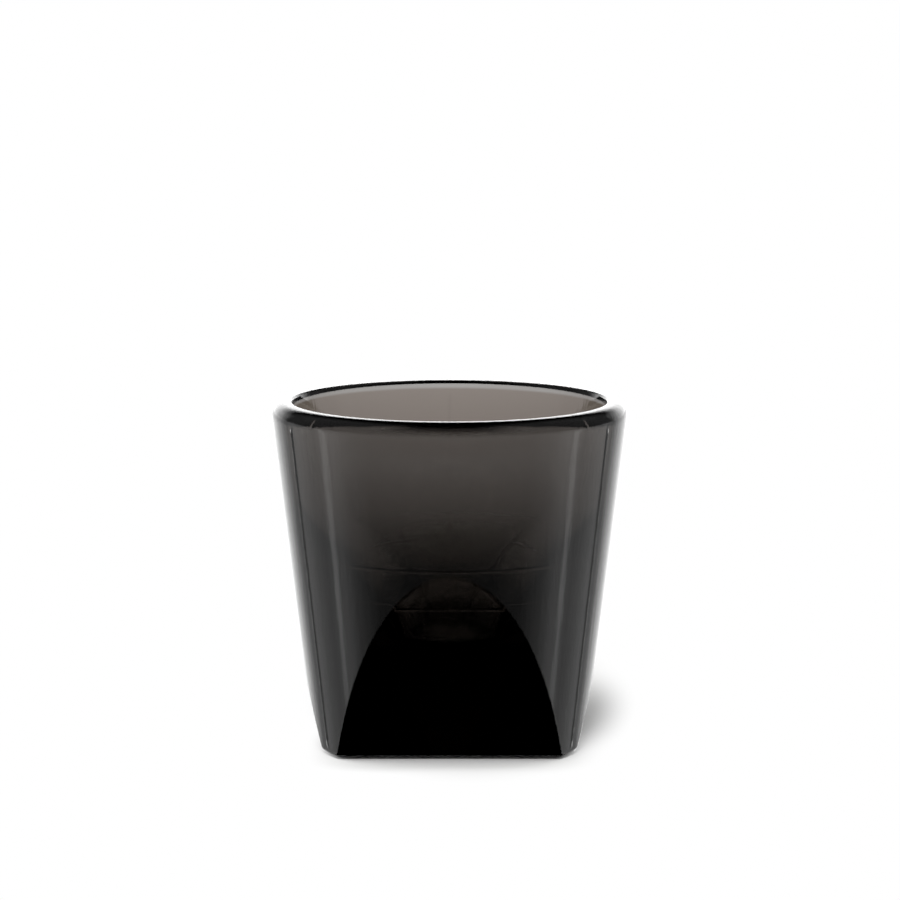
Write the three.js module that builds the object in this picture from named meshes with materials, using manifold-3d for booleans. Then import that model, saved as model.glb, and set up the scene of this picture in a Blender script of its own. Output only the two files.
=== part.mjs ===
// Handleless espresso cup in thick smoke glass.
// A round wall widens from foot to lip, flat panels lean in towards the foot and leave rounded
// corners between them, and a smooth tapered cavity stops well above the solid foot.
// Millimetres, +Z up, origin at the middle of the resting face, first panel facing -Y.

import * as THREE from "three";
import { mergeVertices } from "three/addons/utils/BufferGeometryUtils.js";
import Module from "manifold-3d";

const { degToRad } = THREE.MathUtils;

// Driving dimensions: outside of the wall
const CUP_HEIGHT = 67.6;
const LIP_RADIUS = 35;
const FOOT_RADIUS = 26.6;
const FOOT_ROUND = 1.5;
const LIP_OUTER_ROUND = 2.7;

// Driving dimensions: cavity, which narrows more quickly below a gentle bend in its wall
const LIP_WALL = 4.3;
const LIP_INNER_ROUND = 0.5;
const CAVITY_BEND_DEPTH = 26.8;
const CAVITY_BEND_RADIUS = 24.6;
const CAVITY_BEND_ROUND = 68;
const CAVITY_DEPTH = 45.7;
const CAVITY_FLOOR_RADIUS = 14.4;
const CAVITY_FLOOR_ROUND = 8;

// Driving dimensions: flat panels
const PANEL_COUNT = 3;
const PANEL_FOOT_DISTANCE = 16.1;
const PANEL_LEAN = degToRad(21.9);
const PANEL_FOOT_BREAK = 1;

// Fineness of the faceted surface
const ROUND_SEGMENTS = 96;
const ARC_TOLERANCE = 0.05;

const SMOKE_GLASS = new THREE.MeshStandardMaterial({
  name: "smoke_glass",
  color: 0x45413d,
  roughness: 0.04,
  metalness: 0,
  transparent: true,
  opacity: 0.7,
});

const wasm = await Module();
wasm.setup();

function solidFrom(geometry) {
  const shell = geometry.clone();
  shell.deleteAttribute("normal");
  shell.deleteAttribute("uv");
  const merged = mergeVertices(shell);
  const corners = merged.index.array;
  const triangles = [];
  for (let i = 0; i < corners.length; i += 3) {
    const [a, b, c] = corners.slice(i, i + 3);
    // A lathe's triangles shrink to nothing where the profile meets the axis.
    if (a !== b && b !== c && c !== a) {
      triangles.push(a, b, c);
    }
  }
  return new wasm.Manifold(
    new wasm.Mesh({
      numProp: 3,
      vertProperties: merged.attributes.position.array,
      triVerts: new Uint32Array(triangles),
    })
  );
}

function geometryFrom(solid) {
  const mesh = solid.getMesh();
  const geometry = new THREE.BufferGeometry();
  geometry.setAttribute("position", new THREE.BufferAttribute(mesh.vertProperties, mesh.numProp));
  geometry.setIndex(new THREE.BufferAttribute(mesh.triVerts, 1));
  const faceted = geometry.toNonIndexed();
  faceted.computeVertexNormals();
  return faceted;
}

// The points of an arc that rounds one corner of a profile and is tangent to both its sides.
function roundedCorner(before, corner, after, radius) {
  const toBefore = before.clone().sub(corner).normalize();
  const toAfter = after.clone().sub(corner).normalize();
  const halfAngle = Math.acos(toBefore.dot(toAfter)) / 2;
  const inwards = toBefore.clone().add(toAfter).normalize();
  const centre = corner.clone().addScaledVector(inwards, radius / Math.sin(halfAngle));
  const start = corner.clone().addScaledVector(toBefore, radius / Math.tan(halfAngle));
  const turnSign = Math.sign(toAfter.cross(toBefore));
  const turn = turnSign * (Math.PI - 2 * halfAngle);
  const largestStep = 2 * Math.acos(1 - ARC_TOLERANCE / radius);
  const steps = Math.ceil(Math.abs(turn) / largestStep);
  const points = [];
  for (let i = 0; i <= steps; i += 1) {
    points.push(start.clone().rotateAround(centre, (turn * i) / steps));
  }
  return points;
}

// Half section of the cup, as radius and height, from the middle of the resting face
// up the outside, over the lip and down the cavity to the middle of its floor.
function halfSection() {
  const bendHeight = CUP_HEIGHT - CAVITY_BEND_DEPTH;
  const floorHeight = CUP_HEIGHT - CAVITY_DEPTH;
  const foot = new THREE.Vector2(0, 0);
  const footCorner = new THREE.Vector2(FOOT_RADIUS, 0);
  const lipOuter = new THREE.Vector2(LIP_RADIUS, CUP_HEIGHT);
  const lipInner = new THREE.Vector2(LIP_RADIUS - LIP_WALL, CUP_HEIGHT);
  const bend = new THREE.Vector2(CAVITY_BEND_RADIUS, bendHeight);
  const floorCorner = new THREE.Vector2(CAVITY_FLOOR_RADIUS, floorHeight);
  const floor = new THREE.Vector2(0, floorHeight);
  return [
    foot,
    ...roundedCorner(foot, footCorner, lipOuter, FOOT_ROUND),
    ...roundedCorner(footCorner, lipOuter, lipInner, LIP_OUTER_ROUND),
    ...roundedCorner(lipOuter, lipInner, bend, LIP_INNER_ROUND),
    ...roundedCorner(lipInner, bend, floorCorner, CAVITY_BEND_ROUND),
    ...roundedCorner(bend, floorCorner, floor, CAVITY_FLOOR_ROUND),
    floor,
  ];
}

function roundBody() {
  const body = new THREE.LatheGeometry(halfSection(), ROUND_SEGMENTS);
  body.rotateX(Math.PI / 2);
  return solidFrom(body);
}

// A block that removes what lies outside a plane. The plane crosses the resting face at
// the given distance from the axis and leans outwards as it rises.
function panelBlock(distance, lean, turn) {
  const reach = CUP_HEIGHT + LIP_RADIUS;
  const block = new THREE.BoxGeometry(2 * reach, reach, 4 * reach);
  block.translate(0, -reach / 2, 0);
  block.rotateX(lean);
  block.translate(0, -distance, 0);
  block.rotateZ(turn);
  return solidFrom(block);
}

function glassCup() {
  // The break at a panel's foot leans halfway between the panel and the resting face.
  const breakLean = (PANEL_LEAN + Math.PI / 2) / 2;
  let cup = roundBody();
  for (let i = 0; i < PANEL_COUNT; i += 1) {
    const turn = (2 * Math.PI * i) / PANEL_COUNT;
    cup = cup.subtract(panelBlock(PANEL_FOOT_DISTANCE, PANEL_LEAN, turn));
    cup = cup.subtract(panelBlock(PANEL_FOOT_DISTANCE - PANEL_FOOT_BREAK, breakLean, turn));
  }
  const mesh = new THREE.Mesh(geometryFrom(cup), SMOKE_GLASS);
  mesh.name = "glass_cup";
  return mesh;
}

const espressoCup = new THREE.Group();
espressoCup.add(glassCup());

export default espressoCup;
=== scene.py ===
import math

import bmesh
import bpy
from mathutils import Matrix, Vector


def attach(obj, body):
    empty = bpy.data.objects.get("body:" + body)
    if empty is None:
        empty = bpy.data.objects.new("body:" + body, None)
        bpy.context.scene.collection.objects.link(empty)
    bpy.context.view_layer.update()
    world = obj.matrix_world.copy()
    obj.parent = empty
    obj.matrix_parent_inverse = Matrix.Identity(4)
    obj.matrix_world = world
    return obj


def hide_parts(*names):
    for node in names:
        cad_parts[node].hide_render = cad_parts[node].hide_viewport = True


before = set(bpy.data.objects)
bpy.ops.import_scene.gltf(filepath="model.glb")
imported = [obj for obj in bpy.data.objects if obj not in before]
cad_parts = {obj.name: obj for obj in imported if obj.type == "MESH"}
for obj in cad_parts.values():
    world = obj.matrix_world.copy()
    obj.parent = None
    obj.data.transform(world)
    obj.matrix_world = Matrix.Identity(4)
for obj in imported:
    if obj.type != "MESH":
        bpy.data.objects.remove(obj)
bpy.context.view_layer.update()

MM = 0.001

# Outside of the cup
CUP_HEIGHT = 67.6 * MM
LIP_RADIUS = 35 * MM
FOOT_RADIUS = 26.95 * MM
LIP_OUTER_ROUND = 2.7 * MM
FOOT_ROUND = 1.0 * MM

# Cavity, which narrows more quickly below a gentle bend in its wall
LIP_INNER_RADIUS = 30.7 * MM
LIP_INNER_ROUND = 0.5 * MM
CAVITY_BEND_HEIGHT = 40.8 * MM
CAVITY_BEND_RADIUS = 24.6 * MM
CAVITY_BEND_ROUND = 68 * MM
CAVITY_FLOOR_HEIGHT = 21.9 * MM
CAVITY_FLOOR_RADIUS = 14.4 * MM
CAVITY_FLOOR_ROUND = 8 * MM

# Marks that the plunger left round the cavity wall, each a fine raised ring
MARK_HEIGHTS = (31.8 * MM, 38.6 * MM)
MARK_WIDTH = 0.8 * MM
MARK_RISE = 0.065 * MM

# Flat panels, the first of them facing -Y
PANEL_COUNT = 3
PANEL_FOOT_DISTANCE = 16.1 * MM
PANEL_LEAN = math.radians(21.9)
PANEL_EDGE_ROUND = 0.5 * MM
FIRST_PANEL_WAY = Vector((0, -1, 0))

# Mould seams, one up the middle of each rounded corner
SEAM_WIDTH = 1.0 * MM
SEAM_RISE = 0.19 * MM
SEAM_FOOT_HEIGHT = 3 * MM
SEAM_TOP_HEIGHT = 63.4 * MM

# Fineness of the mesh
SPIN_STEPS = 132
LIP_STEPS = 8
CAVITY_BEND_STEPS = 12
CAVITY_FLOOR_STEPS = 16
EDGE_STEPS = 5
SEAM_STEPS = 2

# What counts as the same place, and as a tall edge, when parts of the mesh are picked
NEAR = 0.02 * MM
MERGE_DISTANCE = NEAR / 4
CUT_TOLERANCE = NEAR / 10
TALL_EDGE = 1 * MM

# What a face's normal tells: the foot faces straight down, the outer wall and its seams a little down
FOOT_NORMAL_Z = -0.999
WALL_LEAST_NORMAL_Z = -0.2
WALL_MOST_NORMAL_Z = -0.05
SEAM_MOST_NORMAL_Z = -0.02
SAME_WAY = 0.9999


def linear(hex_colour):
    channels = []
    for start in (0, 2, 4):
        value = int(hex_colour[start:start + 2], 16) / 255
        if value <= 0.04045:
            channels.append(value / 12.92)
        else:
            channels.append(((value + 0.055) / 1.055) ** 2.4)
    return (*channels, 1.0)


def add_node(tree, kind, values=None, links=None, stops=None, **settings):
    node = tree.nodes.new(kind)
    for name, value in settings.items():
        setattr(node, name, value)
    for socket, value in (values or {}).items():
        node.inputs[socket].default_value = value
    for socket, source in (links or {}).items():
        tree.links.new(source, node.inputs[socket])
    if stops:
        elements = node.color_ramp.elements
        while len(elements) < len(stops):
            elements.new(0.5)
        for element, (position, colour) in zip(elements, stops):
            element.position = position
            element.color = colour
    return node


# A Mix node's colour sockets share their names with its number sockets, so they go by place.
MIX_COLOUR_A = 6
MIX_COLOUR_B = 7
MIX_COLOUR_RESULT = 2


def pick(piece, kind, wanted):
    bpy.ops.mesh.select_mode(type=kind)
    bpy.ops.mesh.select_all(action="DESELECT")
    edit_mesh = bmesh.from_edit_mesh(piece.data)
    parts = {"VERT": edit_mesh.verts, "EDGE": edit_mesh.edges, "FACE": edit_mesh.faces}[kind]
    for part in parts:
        if wanted(part):
            part.select_set(True)
    edit_mesh.select_flush_mode()
    bmesh.update_edit_mesh(piece.data)


def tangent_length(before, corner, after, radius):
    half_angle = (before - corner).angle(after - corner) / 2
    return radius / math.tan(half_angle)


# The half section is drawn from the middle of the resting face, up the outside, over the lip
# and down the cavity, its corners are rounded, and it is spun about the axis.
def spin_round_body():
    foot_corner = Vector((FOOT_RADIUS, 0, 0))
    lip_outer = Vector((LIP_RADIUS, 0, CUP_HEIGHT))
    lip_inner = Vector((LIP_INNER_RADIUS, 0, CUP_HEIGHT))
    bend = Vector((CAVITY_BEND_RADIUS, 0, CAVITY_BEND_HEIGHT))
    floor_corner = Vector((CAVITY_FLOOR_RADIUS, 0, CAVITY_FLOOR_HEIGHT))
    floor_middle = Vector((0, 0, CAVITY_FLOOR_HEIGHT))
    outline = [
        foot_corner,
        lip_outer,
        lip_inner,
        bend,
        floor_corner,
        floor_middle,
    ]
    rounds = [
        (foot_corner, lip_outer, lip_inner, LIP_OUTER_ROUND, LIP_STEPS),
        (lip_outer, lip_inner, bend, LIP_INNER_ROUND, LIP_STEPS),
        (lip_inner, bend, floor_corner, CAVITY_BEND_ROUND, CAVITY_BEND_STEPS),
        (bend, floor_corner, floor_middle, CAVITY_FLOOR_ROUND, CAVITY_FLOOR_STEPS),
    ]

    bpy.ops.object.select_all(action="DESELECT")
    bpy.ops.mesh.primitive_plane_add(size=MM)
    cup = bpy.context.object
    bpy.ops.object.mode_set(mode="EDIT")
    bpy.ops.mesh.merge(type="CENTER")
    drawn_to = Vector((0, 0, 0))
    for point in outline:
        bpy.ops.mesh.extrude_vertices_move(TRANSFORM_OT_translate={"value": point - drawn_to})
        drawn_to = point

    for before, corner, after, radius, steps in rounds:
        pick(cup, "VERT", lambda vertex: (vertex.co - corner).length < NEAR)
        reach = tangent_length(before, corner, after, radius)
        bpy.ops.mesh.bevel(offset=reach, segments=steps, affect="VERTICES")

    bpy.ops.mesh.select_all(action="SELECT")
    bpy.ops.mesh.spin(steps=SPIN_STEPS, angle=2 * math.pi, center=(0, 0, 0), axis=(0, 0, 1))
    bpy.ops.mesh.select_all(action="SELECT")
    bpy.ops.mesh.remove_doubles(threshold=NEAR)
    bpy.ops.mesh.normals_make_consistent(inside=False)
    return cup


# Each mark is cut into the cavity wall as three level lines, and the middle one is raised.
def raise_plunger_marks(cup):
    def cavity_wall(face):
        middle = face.calc_center_median()
        return face.normal.xy.dot(middle.xy) < 0 and middle.xy.length > NEAR

    # A raised line also shifts a little in height, by less than its rise.
    def at_level(vertex, level):
        return abs(vertex.co.z - level) < MARK_RISE and vertex.co.xy.length < FOOT_RADIUS

    for height in MARK_HEIGHTS:
        levels = [height - MARK_WIDTH / 2, height, height + MARK_WIDTH / 2]
        for level in levels:
            pick(cup, "FACE", cavity_wall)
            bpy.ops.mesh.bisect(plane_co=(0, 0, level), plane_no=(0, 0, 1), threshold=CUT_TOLERANCE)
        pick(cup, "VERT", lambda vertex: at_level(vertex, height))
        bpy.ops.transform.shrink_fatten(value=MARK_RISE)
        for level in levels:
            pick(cup, "EDGE", lambda edge: all(at_level(vertex, level) for vertex in edge.verts))
            bpy.ops.mesh.mark_sharp()


def panel_turns():
    turns = []
    for number in range(PANEL_COUNT):
        turns.append(Matrix.Rotation(2 * math.pi * number / PANEL_COUNT, 3, "Z"))
    return turns


def panel_normals():
    facing = Vector((0, -math.cos(PANEL_LEAN), -math.sin(PANEL_LEAN)))
    return [turn @ facing for turn in panel_turns()]


# Each panel is one flat cut that leans out as it rises.
def cut_panels(cup):
    foot_point = PANEL_FOOT_DISTANCE * FIRST_PANEL_WAY
    for turn, normal in zip(panel_turns(), panel_normals()):
        bpy.ops.mesh.select_all(action="SELECT")
        bpy.ops.mesh.bisect(
            plane_co=turn @ foot_point,
            plane_no=normal,
            use_fill=True,
            clear_outer=True,
            threshold=CUT_TOLERANCE,
        )
    pick(cup, "FACE", lambda face: face.normal.z < FOOT_NORMAL_Z)
    bpy.ops.mesh.dissolve_faces(use_verts=True)


# Pressed glass comes out of the mould with melted edges: a clear round at the foot and a
# finer one where a panel meets the round wall.
def round_edges(cup):
    normals = panel_normals()

    def at_foot(edge):
        return all(vertex.co.z < NEAR for vertex in edge.verts)

    def on_panel(face):
        return any(face.normal.dot(normal) > SAME_WAY for normal in normals)

    def at_panel(edge):
        return not at_foot(edge) and any(on_panel(face) for face in edge.link_faces)

    pick(cup, "EDGE", at_panel)
    bpy.ops.mesh.bevel(offset=PANEL_EDGE_ROUND, segments=EDGE_STEPS, affect="EDGES")
    pick(cup, "EDGE", at_foot)
    bpy.ops.mesh.bevel(offset=FOOT_ROUND, segments=EDGE_STEPS, affect="EDGES")
    bpy.ops.mesh.select_all(action="SELECT")
    bpy.ops.mesh.remove_doubles(threshold=MERGE_DISTANCE)


# Where the mould's parts met, a low ridge runs up each rounded corner and fades at both ends.
def raise_mould_seams(cup):
    half_turn = Matrix.Rotation(math.pi / PANEL_COUNT, 3, "Z")
    outward = [half_turn @ turn @ FIRST_PANEL_WAY for turn in panel_turns()]

    def within(vertex, reach):
        spot = Vector((vertex.co.x, vertex.co.y, 0))
        for way in outward:
            ahead = spot.dot(way)
            if ahead > 0 and (spot - ahead * way).length < reach:
                return True
        return False

    def on_seam(vertex):
        return within(vertex, NEAR)

    def in_seam(vertex):
        return within(vertex, SEAM_WIDTH / 2 + NEAR)

    def on_wall(face):
        return WALL_LEAST_NORMAL_Z < face.normal.z < WALL_MOST_NORMAL_Z

    def on_wall_or_ridge(face):
        return face.normal.z < SEAM_MOST_NORMAL_Z

    def tall(edge):
        return abs(edge.verts[0].co.z - edge.verts[1].co.z) > TALL_EDGE

    def seam_edge(edge):
        outside = all(on_wall(face) for face in edge.link_faces)
        return outside and tall(edge) and all(on_seam(vertex) for vertex in edge.verts)

    def seam_face(face):
        return on_wall_or_ridge(face) and all(in_seam(vertex) for vertex in face.verts)

    def seam_crest(vertex):
        between_ends = SEAM_FOOT_HEIGHT - NEAR < vertex.co.z < SEAM_TOP_HEIGHT + NEAR
        outside = vertex.co.xy.length > FOOT_RADIUS
        return between_ends and outside and on_seam(vertex)

    def seam_line(edge):
        outside = all(on_wall_or_ridge(face) for face in edge.link_faces)
        return outside and tall(edge) and all(in_seam(vertex) for vertex in edge.verts)

    pick(cup, "EDGE", seam_edge)
    bpy.ops.mesh.bevel(offset=SEAM_WIDTH / 2, segments=SEAM_STEPS, affect="EDGES")
    for level in (SEAM_FOOT_HEIGHT, SEAM_TOP_HEIGHT):
        pick(cup, "FACE", seam_face)
        bpy.ops.mesh.bisect(plane_co=(0, 0, level), plane_no=(0, 0, 1), threshold=CUT_TOLERANCE)
    pick(cup, "VERT", seam_crest)
    bpy.ops.transform.shrink_fatten(value=SEAM_RISE)
    pick(cup, "EDGE", seam_line)
    bpy.ops.mesh.mark_sharp()


def make_cup():
    cup = spin_round_body()
    cup.name = "smoke_glass_cup"
    raise_plunger_marks(cup)
    cut_panels(cup)
    round_edges(cup)
    raise_mould_seams(cup)
    bpy.ops.object.mode_set(mode="OBJECT")
    bpy.ops.object.shade_smooth()
    flat_faces = cup.modifiers.new("flat_faces", "WEIGHTED_NORMAL")
    flat_faces.mode = "FACE_AREA"
    flat_faces.keep_sharp = True
    bpy.ops.object.modifier_apply(modifier=flat_faces.name)
    return cup


# Smoke glass: soda-lime glass coloured grey all through and pressed in a mould. The eye sees
# clear, hard gloss that darkens with thickness, from pale grey at the lip to black in the solid
# foot, and faint upright lines and waves where the glass slid along the mould.
SMOKE_TINT = "A9A4A0"
SMOKE_DENSITY = 366
GLASS_IOR = 1.52
DRAW_LINE_WIDTH = 1.1 * MM
DRAW_LINE_STRETCH = 0.012
DRAW_LINE_DEPTH = 0.018 * MM
WAVE_WIDTH = 14 * MM
WAVE_DEPTH = 0.02 * MM


def smoke_glass():
    material = bpy.data.materials.new("pressed_smoke_glass")
    material.use_nodes = True
    tree = material.node_tree
    tree.nodes.clear()
    place = add_node(tree, "ShaderNodeTexCoord")
    upright = add_node(
        tree,
        "ShaderNodeMapping",
        {"Scale": (1, 1, DRAW_LINE_STRETCH)},
        {"Vector": place.outputs["Object"]},
    )
    draw_lines = add_node(
        tree,
        "ShaderNodeTexNoise",
        {"Scale": 1 / DRAW_LINE_WIDTH, "Detail": 2.0},
        {"Vector": upright.outputs["Vector"]},
    )
    waves = add_node(
        tree,
        "ShaderNodeTexNoise",
        {"Scale": 1 / WAVE_WIDTH, "Detail": 1.0},
        {"Vector": place.outputs["Object"]},
    )
    wavy = add_node(
        tree,
        "ShaderNodeBump",
        {"Strength": 1.0, "Distance": WAVE_DEPTH},
        {"Height": waves.outputs["Fac"]},
    )
    drawn = add_node(
        tree,
        "ShaderNodeBump",
        {"Strength": 1.0, "Distance": DRAW_LINE_DEPTH},
        {"Height": draw_lines.outputs["Fac"], "Normal": wavy.outputs["Normal"]},
    )
    surface = add_node(
        tree,
        "ShaderNodeBsdfPrincipled",
        {
            "Base Color": (1, 1, 1, 1),
            "Roughness": 0.0,
            "IOR": GLASS_IOR,
            "Transmission Weight": 1.0,
        },
        {"Normal": drawn.outputs["Normal"]},
    )
    depth = add_node(
        tree,
        "ShaderNodeVolumeAbsorption",
        {"Color": linear(SMOKE_TINT), "Density": SMOKE_DENSITY},
    )
    add_node(
        tree,
        "ShaderNodeOutputMaterial",
        links={"Surface": surface.outputs["BSDF"], "Volume": depth.outputs["Volume"]},
    )
    return material


# Floor: matt white paint, rolled on, which gives the eye soft shadow and no gloss.
FLOOR_PAINT = "F7F7F6"
FLOOR_SIZE = 40
FLOOR_DROP = 0.2 * MM

# The floor looks shaded only in two places, behind the cup and before its foot, and plain white
# elsewhere. Each place has its middle, its half size and the squareness of its outline, where 2 is
# an oval. The fade is in shares of the half size.
SHADED_PLACES = [
    (Vector((4.5, 40, 0)) * MM, Vector((30, 65, 1)) * MM, 2),
    (Vector((0.5, -8, 0)) * MM, Vector((24.5, 17, 1)) * MM, 4),
]
SHADED_FADE_START = 0.83
SHADED_FADE_END = 1.17
SHADED_JOIN = 0.2

# Through the glass the far floor gets painted shade in place of its falloff of light: a warm grey,
# and a darker painted shade in a narrow fan to either side of the middle line. Each stop is a slope
# away from that line and the colour there.
FAR_FLOOR_START = 175 * MM
FAR_FLOOR_END = 275 * MM
FAR_FLOOR_SHADE_COLOUR = "DCD4CE"
FAN_SHADE_COLOUR = "B1A89D"
FAR_FLOOR_SHADE_STOPS = [
    (0.215, FAR_FLOOR_SHADE_COLOUR),
    (0.24, FAN_SHADE_COLOUR),
    (0.45, FAN_SHADE_COLOUR),
    (0.60, FAR_FLOOR_SHADE_COLOUR),
]


# Painted shade on the far floor, shown only to rays through the glass: the emission turns from white
# to warm grey, darker in the fan.
def far_floor_painted_shade(tree, place, distance, ray):
    either_side = add_node(
        tree,
        "ShaderNodeVectorMath",
        links={0: place.outputs["Object"]},
        operation="ABSOLUTE",
    )
    along = add_node(
        tree,
        "ShaderNodeSeparateXYZ",
        links={"Vector": either_side.outputs["Vector"]},
    )
    slope = add_node(
        tree,
        "ShaderNodeMath",
        links={0: along.outputs["X"], 1: along.outputs["Y"]},
        operation="DIVIDE",
    )
    far_painted_shade = add_node(
        tree,
        "ShaderNodeValToRGB",
        links={"Fac": slope.outputs["Value"]},
        stops=[(position, linear(colour)) for position, colour in FAR_FLOOR_SHADE_STOPS],
    )
    far_off = add_node(
        tree,
        "ShaderNodeMapRange",
        {"From Min": FAR_FLOOR_START, "From Max": FAR_FLOOR_END},
        {"Value": distance.outputs["Value"]},
        interpolation_type="SMOOTHSTEP",
    )
    through_glass = add_node(
        tree,
        "ShaderNodeMath",
        links={0: ray.outputs["Is Transmission Ray"], 1: far_off.outputs["Result"]},
        operation="MULTIPLY",
    )
    colour = add_node(
        tree,
        "ShaderNodeMix",
        {MIX_COLOUR_A: (1, 1, 1, 1)},
        {"Factor": through_glass.outputs["Value"], MIX_COLOUR_B: far_painted_shade.outputs["Color"]},
        data_type="RGBA",
    )
    return colour.outputs[MIX_COLOUR_RESULT]


# How far out of the nearer shaded place the floor lies, where 1 is that place's outline.
def reach_from_shade(tree, place):
    reaches = []
    for middle, half_size, squareness in SHADED_PLACES:
        from_middle = add_node(
            tree,
            "ShaderNodeVectorMath",
            {1: middle},
            {0: place.outputs["Object"]},
            operation="SUBTRACT",
        )
        in_half_sizes = add_node(
            tree,
            "ShaderNodeVectorMath",
            {1: half_size},
            {0: from_middle.outputs["Vector"]},
            operation="DIVIDE",
        )
        either_side = add_node(
            tree,
            "ShaderNodeVectorMath",
            links={0: in_half_sizes.outputs["Vector"]},
            operation="ABSOLUTE",
        )
        powers = add_node(
            tree,
            "ShaderNodeVectorMath",
            {1: (squareness, squareness, squareness)},
            {0: either_side.outputs["Vector"]},
            operation="POWER",
        )
        sum_of_powers = add_node(
            tree,
            "ShaderNodeVectorMath",
            {1: (1, 1, 0)},
            {0: powers.outputs["Vector"]},
            operation="DOT_PRODUCT",
        )
        reach = add_node(
            tree,
            "ShaderNodeMath",
            {1: 1 / squareness},
            {0: sum_of_powers.outputs["Value"]},
            operation="POWER",
        )
        reaches.append(reach.outputs["Value"])
    nearer = add_node(
        tree,
        "ShaderNodeMath",
        {2: SHADED_JOIN},
        {0: reaches[0], 1: reaches[1]},
        operation="SMOOTH_MIN",
    )
    return nearer.outputs["Value"]


# Whether the floor lies outside the cup's foot: beyond its circle or past one of its panels.
def beyond_foot(tree, place, distance):
    beyond = add_node(
        tree,
        "ShaderNodeMath",
        {1: FOOT_RADIUS},
        {0: distance.outputs["Value"]},
        operation="GREATER_THAN",
    )
    for turn in panel_turns():
        towards_panel = add_node(
            tree,
            "ShaderNodeVectorMath",
            {1: turn @ FIRST_PANEL_WAY},
            {0: place.outputs["Object"]},
            operation="DOT_PRODUCT",
        )
        past_panel = add_node(
            tree,
            "ShaderNodeMath",
            {1: PANEL_FOOT_DISTANCE},
            {0: towards_panel.outputs["Value"]},
            operation="GREATER_THAN",
        )
        beyond = add_node(
            tree,
            "ShaderNodeMath",
            links={0: beyond.outputs["Value"], 1: past_panel.outputs["Value"]},
            operation="MAXIMUM",
        )
    return beyond.outputs["Value"]


def matt_white_paint():
    material = bpy.data.materials.new("matt_white_paint")
    material.use_nodes = True
    tree = material.node_tree
    tree.nodes.clear()
    ray = add_node(tree, "ShaderNodeLightPath")
    place = add_node(tree, "ShaderNodeTexCoord")
    distance = add_node(
        tree,
        "ShaderNodeVectorMath",
        links={0: place.outputs["Object"]},
        operation="LENGTH",
    )
    paint = add_node(tree, "ShaderNodeBsdfDiffuse", {"Color": linear(FLOOR_PAINT)})
    # The emission is plain white, except far off through the glass, where it carries painted shade.
    white = add_node(
        tree,
        "ShaderNodeEmission",
        {"Strength": 1.0},
        {"Color": far_floor_painted_shade(tree, place, distance, ray)},
    )
    unshaded = add_node(
        tree,
        "ShaderNodeMapRange",
        {"From Min": SHADED_FADE_START, "From Max": SHADED_FADE_END},
        {"Value": reach_from_shade(tree, place)},
        interpolation_type="SMOOTHSTEP",
    )
    camera_or_mirror = add_node(
        tree,
        "ShaderNodeMath",
        links={0: ray.outputs["Is Camera Ray"], 1: ray.outputs["Is Glossy Ray"]},
        operation="MAXIMUM",
    )
    seen = add_node(
        tree,
        "ShaderNodeMath",
        links={0: camera_or_mirror.outputs["Value"], 1: ray.outputs["Is Transmission Ray"]},
        operation="MAXIMUM",
    )
    plain_white = add_node(
        tree,
        "ShaderNodeMath",
        links={0: seen.outputs["Value"], 1: unshaded.outputs["Result"]},
        operation="MULTIPLY",
    )
    surface = add_node(
        tree,
        "ShaderNodeMixShader",
        links={
            0: plain_white.outputs["Value"],
            1: paint.outputs["BSDF"],
            2: white.outputs["Emission"],
        },
    )

    # The glass mirrors only the floor under its foot, and the studio in place of the rest.
    reflected = add_node(
        tree,
        "ShaderNodeMath",
        links={0: ray.outputs["Is Glossy Ray"], 1: ray.outputs["Is Transmission Ray"]},
        operation="GREATER_THAN",
    )
    unmirrored = add_node(
        tree,
        "ShaderNodeMath",
        links={0: beyond_foot(tree, place, distance), 1: reflected.outputs["Value"]},
        operation="MULTIPLY",
    )
    let_through = add_node(tree, "ShaderNodeBsdfTransparent")
    mirrored = add_node(
        tree,
        "ShaderNodeMixShader",
        links={
            0: unmirrored.outputs["Value"],
            1: surface.outputs["Shader"],
            2: let_through.outputs["BSDF"],
        },
    )
    add_node(tree, "ShaderNodeOutputMaterial", links={"Surface": mirrored.outputs["Shader"]})
    return material


def make_floor():
    bpy.ops.object.select_all(action="DESELECT")
    bpy.ops.mesh.primitive_plane_add(size=FLOOR_SIZE, location=(0, 0, -FLOOR_DROP))
    floor = bpy.context.object
    floor.name = "floor"
    floor.data.materials.append(matt_white_paint())


# The studio that the glass mirrors: grey walls that are dark in front and brightest at the back, a
# bright band on the back above the horizon, slim strips at either side and weak lights above them.
# A stop is a direction's share along the axis, from -1 to 1, and the brightness there. Each part of
# the studio is its brightness from front to back times its brightness from floor to ceiling.
FILL_STRENGTH = 0.5
WALLS_FROM_FRONT_TO_BACK = [
    (-1.00, 0.03),
    (-0.54, 0.16),
    (-0.29, 0.45),
    (-0.12, 0.80),
    (0.02, 0.85),
    (0.15, 0.60),
    (0.30, 0.65),
    (0.47, 0.75),
    (0.65, 0.50),
    (0.80, 1.25),
    (0.93, 1.80),
]
WALLS_FROM_FLOOR_TO_CEILING = [
    (-0.60, 0.0),
    (-0.52, 1.0),
    (0.00, 1.0),
    (0.06, 0.3),
    (0.45, 0.0),
]
UPPER_BACK_FROM_FRONT_TO_BACK = [
    (0.60, 0.0),
    (0.80, 1.1),
    (0.93, 1.9),
]
UPPER_BACK_FROM_FLOOR_TO_CEILING = [
    (0.00, 0.0),
    (0.04, 1.0),
    (0.25, 1.0),
    (0.45, 0.0),
]
STRIPS_FROM_FRONT_TO_BACK = [
    (-0.04, 0.0),
    (0.00, 0.55),
    (0.04, 0.55),
    (0.08, 0.0),
]
STRIPS_FROM_FLOOR_TO_CEILING = [
    (-0.42, 0.0),
    (-0.36, 1.0),
    (-0.06, 1.0),
    (0.00, 0.0),
]
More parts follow.
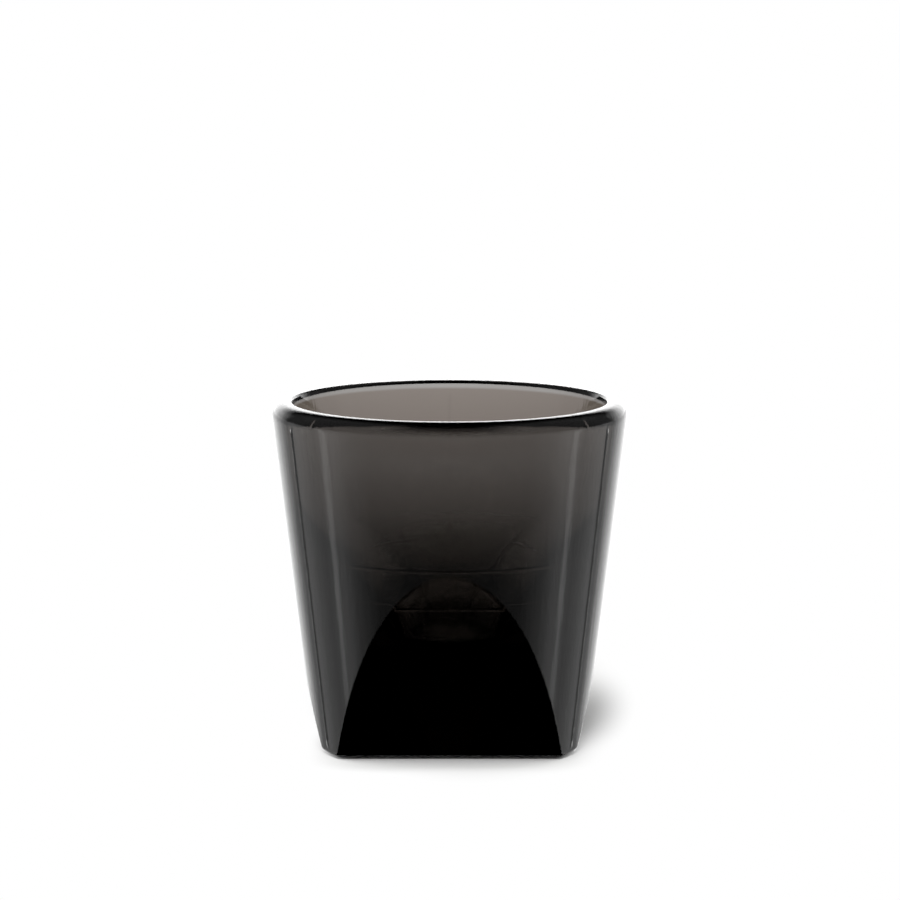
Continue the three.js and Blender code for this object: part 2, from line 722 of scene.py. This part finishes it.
STUDIO = [
    (WALLS_FROM_FRONT_TO_BACK, WALLS_FROM_FLOOR_TO_CEILING),
    (UPPER_BACK_FROM_FRONT_TO_BACK, UPPER_BACK_FROM_FLOOR_TO_CEILING),
    (STRIPS_FROM_FRONT_TO_BACK, STRIPS_FROM_FLOOR_TO_CEILING),
]

# The lights above are brightest towards the upper sides, where the shares sideways and up, times
# each other, are largest.
SIDE_LIGHT_START = 0.15
SIDE_LIGHT_END = 0.38
SIDE_LIGHT_BRIGHTNESS = 0.2


def side_lights(tree, direction):
    sideways = add_node(
        tree,
        "ShaderNodeMath",
        links={0: direction.outputs["X"]},
        operation="ABSOLUTE",
    )
    up_and_sideways = add_node(
        tree,
        "ShaderNodeMath",
        links={0: sideways.outputs["Value"], 1: direction.outputs["Z"]},
        operation="MULTIPLY",
    )
    lights = add_node(
        tree,
        "ShaderNodeMapRange",
        {
            "From Min": SIDE_LIGHT_START,
            "From Max": SIDE_LIGHT_END,
            "To Max": SIDE_LIGHT_BRIGHTNESS,
        },
        {"Value": up_and_sideways.outputs["Value"]},
    )
    return lights.outputs["Result"]


def mirrored_studio(tree):
    place = add_node(tree, "ShaderNodeTexCoord")
    direction = add_node(
        tree,
        "ShaderNodeSeparateXYZ",
        links={"Vector": place.outputs["Generated"]},
    )
    mirrored = side_lights(tree, direction)
    for front_to_back, floor_to_ceiling in STUDIO:
        brightness = []
        for axis, stops in (("Y", front_to_back), ("Z", floor_to_ceiling)):
            along = add_node(
                tree,
                "ShaderNodeMapRange",
                {"From Min": -1.0, "From Max": 1.0},
                {"Value": direction.outputs[axis]},
            )
            greys = add_node(
                tree,
                "ShaderNodeValToRGB",
                links={"Fac": along.outputs["Result"]},
                stops=[((share + 1) / 2, (grey, grey, grey, 1)) for share, grey in stops],
            )
            brightness.append(greys.outputs["Color"])
        part = add_node(
            tree,
            "ShaderNodeMath",
            links={0: brightness[0], 1: brightness[1]},
            operation="MULTIPLY",
        )
        both = add_node(
            tree,
            "ShaderNodeMath",
            links={0: mirrored, 1: part.outputs["Value"]},
            operation="ADD",
        )
        mirrored = both.outputs["Value"]
    return mirrored


# The glass mirrors the studio, the floor gets an even fill from all round, and the background
# itself is seen as plain white.
def light_studio():
    world = bpy.data.worlds.new("white_studio")
    bpy.context.scene.world = world
    world.use_nodes = True
    tree = world.node_tree
    tree.nodes.clear()
    ray = add_node(tree, "ShaderNodeLightPath")
    by_surface = add_node(
        tree,
        "ShaderNodeMix",
        {"A": FILL_STRENGTH},
        {"Factor": ray.outputs["Is Glossy Ray"], "B": mirrored_studio(tree)},
        data_type="FLOAT",
    )
    strength = add_node(
        tree,
        "ShaderNodeMix",
        {"B": 1.0},
        {"Factor": ray.outputs["Is Camera Ray"], "A": by_surface.outputs["Result"]},
        data_type="FLOAT",
    )
    studio = add_node(
        tree,
        "ShaderNodeBackground",
        {"Color": (1, 1, 1, 1)},
        {"Strength": strength.outputs["Result"]},
    )
    add_node(tree, "ShaderNodeOutputWorld", links={"Surface": studio.outputs["Background"]})


# One key light from above and in front, a little to the left, throws the short shadow behind and
# to the right. The glass neither mirrors it nor shows it.
KEY_DIRECTION = Vector((-5, -25, 68)).normalized()
KEY_STRENGTH = 1.85
KEY_SPREAD = math.radians(22)


def hang_key_light():
    bpy.ops.object.light_add(type="SUN", location=KEY_DIRECTION)
    key = bpy.context.object
    key.name = "key_light"
    key.data.energy = KEY_STRENGTH
    key.data.angle = KEY_SPREAD
    key.rotation_euler = KEY_DIRECTION.to_track_quat("Z", "Y").to_euler()
    key.visible_transmission = False
    key.visible_glossy = False


# The photograph's viewpoint: place in metres, dip in radians, lens and sensor in millimetres
CAMERA_PLACE = Vector((0.0001, -0.587, 0.1446))
CAMERA_DIP = 0.147
CAMERA_LENS = 121.6
CAMERA_SENSOR = 36
CAMERA_NEAREST = 0.01


def place_camera():
    bpy.ops.object.camera_add(location=CAMERA_PLACE, rotation=(math.pi / 2 - CAMERA_DIP, 0, 0))
    camera = bpy.context.object
    camera.name = "photo_camera"
    camera.data.sensor_width = CAMERA_SENSOR
    camera.data.lens = CAMERA_LENS
    camera.data.clip_start = CAMERA_NEAREST
    bpy.context.scene.camera = camera


place_camera()
cup = make_cup()
cup.data.materials.append(smoke_glass())
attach(cup, "root")
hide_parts("glass_cup")
make_floor()
light_studio()
hang_key_light()
bpy.context.scene.view_settings.view_transform = "Standard"
